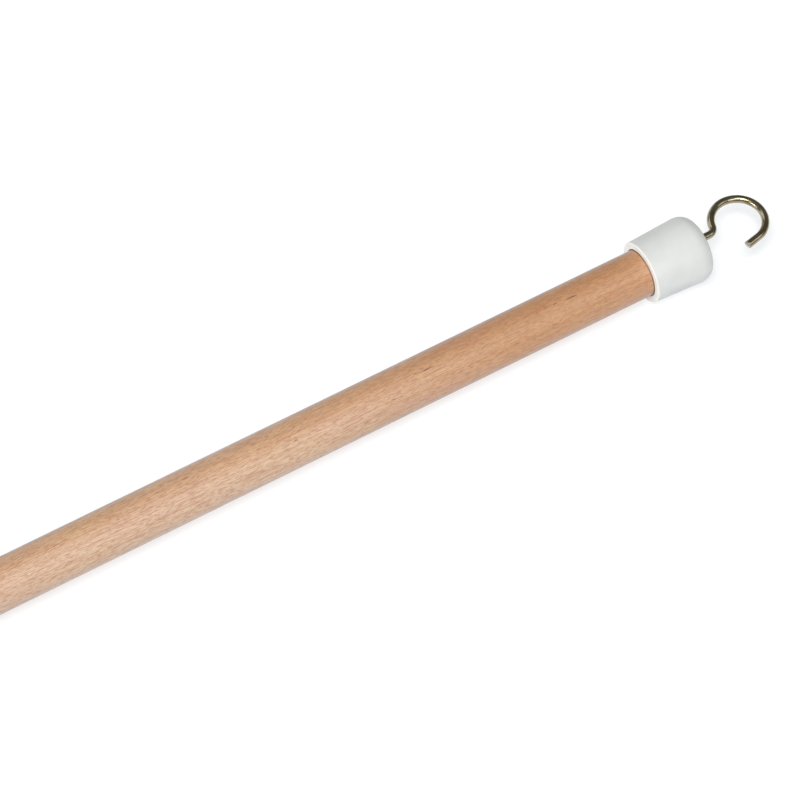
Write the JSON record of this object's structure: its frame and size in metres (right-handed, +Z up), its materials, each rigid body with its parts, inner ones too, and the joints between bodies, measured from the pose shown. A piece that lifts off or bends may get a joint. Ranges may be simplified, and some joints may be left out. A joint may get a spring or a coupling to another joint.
{
  "type": "hook pole",
  "caption": "Round wooden pole with white push-on end tips and a question-mark wire screw hook in one end, for reaching and pulling.",
  "frame": {"origin": "under the middle of the whole length, on the surface that the two tips rest on", "axes": "+X along the pole towards the hook, +Y towards the side that the hook's neck bends to, +Z up and square to the plane of the hook"},
  "size_m": [0.9661, 0.0366, 0.0362],
  "materials": {
    "wood": "satin clear lacquer over pale beech, fine straight grain along the pole",
    "tip_plastic": "smooth, slightly soft white moulding with a satin surface",
    "hook_brass": "olive-yellow plated steel wire, fairly bright"
  },
  "bodies": {
    "root": {"pole": "wood", "front_tip": "tip_plastic", "rear_tip": "tip_plastic", "screw_hook": "hook_brass"}
  },
  "joints": []
}
